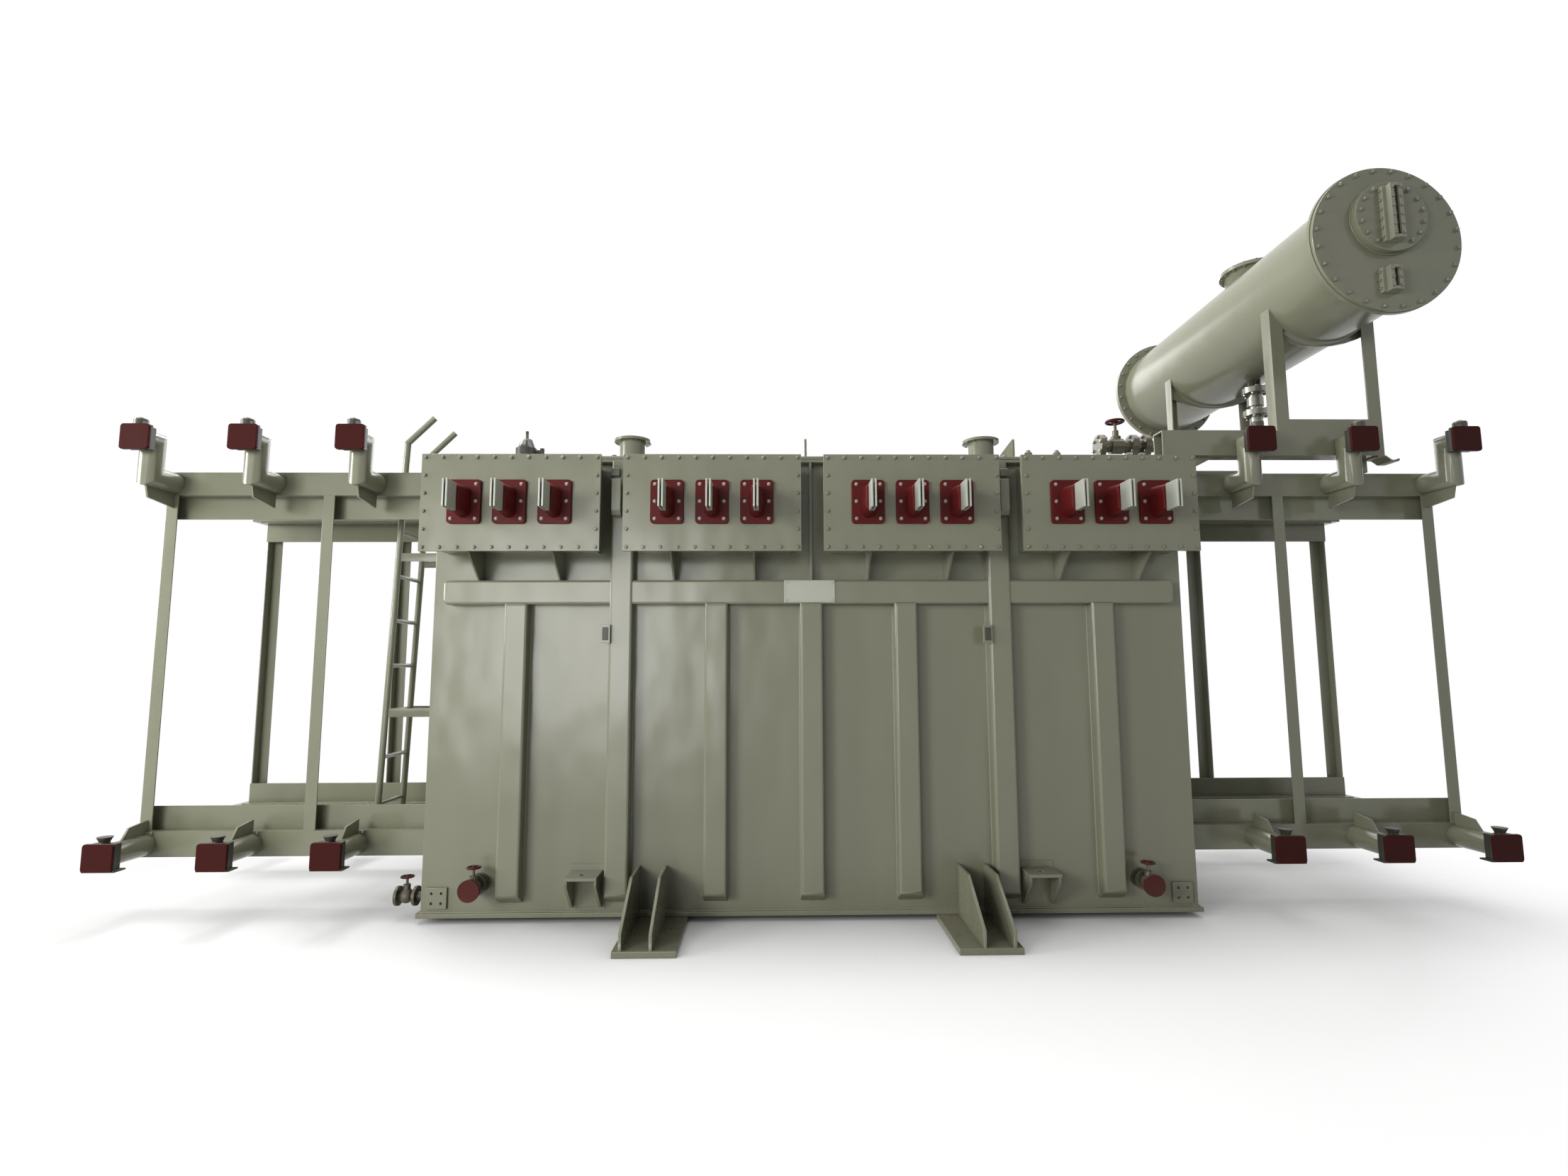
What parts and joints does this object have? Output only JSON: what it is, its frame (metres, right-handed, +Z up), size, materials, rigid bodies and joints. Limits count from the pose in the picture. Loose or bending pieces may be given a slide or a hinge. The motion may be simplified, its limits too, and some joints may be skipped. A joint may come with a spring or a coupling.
{
  "type": "inverter duty transformer",
  "caption": "Oil-filled transformer tank with low-voltage chambers on the front, blanked cooling headers at both ends and a conservator on a side frame.",
  "frame": {"origin": "on the ground under the middle of the tank", "axes": "+X to the right of the front, +Y to the rear, +Z up"},
  "size_m": [7.4, 2.318, 3.926],
  "materials": {
    "tank_paint": "satin",
    "red_oxide": "matte",
    "tinned_metal": "satin",
    "dark_fittings": "satin",
    "valve_metal": "satin"
  },
  "bodies": {
    "root": {"base_skids": "tank_paint", "tank_base_plate": "tank_paint", "tank_body": "tank_paint", "tank_cover": "tank_paint", "front_stiffeners": "tank_paint", "rear_stiffeners": "tank_paint", "lv_chamber_1": "tank_paint", "lv_chamber_2": "tank_paint", "lv_chamber_3": "tank_paint", "lv_chamber_4": "tank_paint", "lv_cover_1": "tank_paint", "lv_cover_2": "tank_paint", "lv_cover_3": "tank_paint", "lv_cover_4": "tank_paint", "lv_bushings": "red_oxide", "lv_terminals": "tinned_metal", "left_front_headers": "tank_paint", "left_rear_headers": "tank_paint", "right_front_headers": "tank_paint", "right_rear_headers": "tank_paint", "left_front_posts": "tank_paint", "left_rear_posts": "tank_paint", "right_front_posts": "tank_paint", "right_rear_posts": "tank_paint", "left_radiator_valves": "dark_fittings", "right_radiator_valves": "dark_fittings", "left_blanks": "red_oxide", "right_blanks": "red_oxide", "conservator_shell": "tank_paint", "conservator_front_cover": "tank_paint", "conservator_rear_cover": "tank_paint", "conservator_gauges": "dark_fittings", "conservator_manhole": "tank_paint", "conservator_support": "tank_paint", "oil_pipe": "valve_metal", "drain_valves": "valve_metal", "filter_valve": "valve_metal", "jacking_pads": "tank_paint", "earth_pads": "tank_paint", "pressure_relief": "dark_fittings", "cover_nozzles": "tank_paint", "lifting_lugs": "tank_paint", "ladder": "tank_paint", "nameplate": "tinned_metal"}
  },
  "joints": []
}
